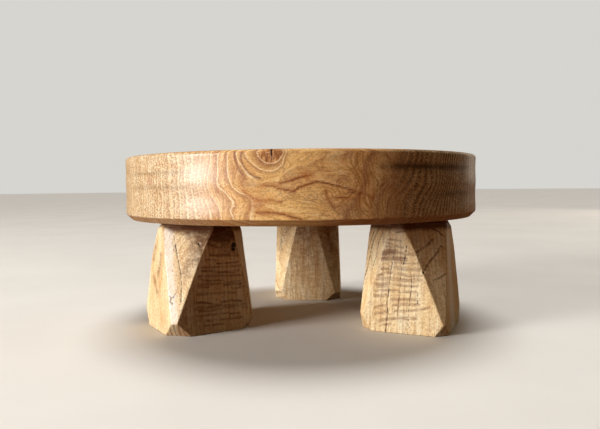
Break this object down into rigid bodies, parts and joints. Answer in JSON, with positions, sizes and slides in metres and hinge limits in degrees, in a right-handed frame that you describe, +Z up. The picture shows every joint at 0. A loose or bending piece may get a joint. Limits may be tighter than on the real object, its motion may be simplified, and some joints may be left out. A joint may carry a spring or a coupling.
{
  "type": "cake stand",
  "caption": "Thick round solid-oak cake stand: a turned slab with a softened top edge and a bevelled underside, on short faceted block feet.",
  "frame": {"origin": "on the floor, under the centre of the round slab", "axes": "+Z up through the slab's centre; -Y is the front, between the two front feet; +X is to the right seen from the front"},
  "size_m": [0.3, 0.3, 0.138],
  "materials": {
    "slab_oak": "satin lacquered knotty flat-sawn oak",
    "foot_oak": "satin lacquered sawn oak with drying cracks",
    "dowel_beech": "raw fluted beech"
  },
  "bodies": {
    "root": {"top_slab": "slab_oak", "front_left_foot": "foot_oak", "front_right_foot": "foot_oak", "rear_foot": "foot_oak", "front_left_outer_dowel": "dowel_beech", "front_left_inner_dowel": "dowel_beech", "front_right_outer_dowel": "dowel_beech", "front_right_inner_dowel": "dowel_beech", "rear_outer_dowel": "dowel_beech", "rear_inner_dowel": "dowel_beech"}
  },
  "joints": []
}
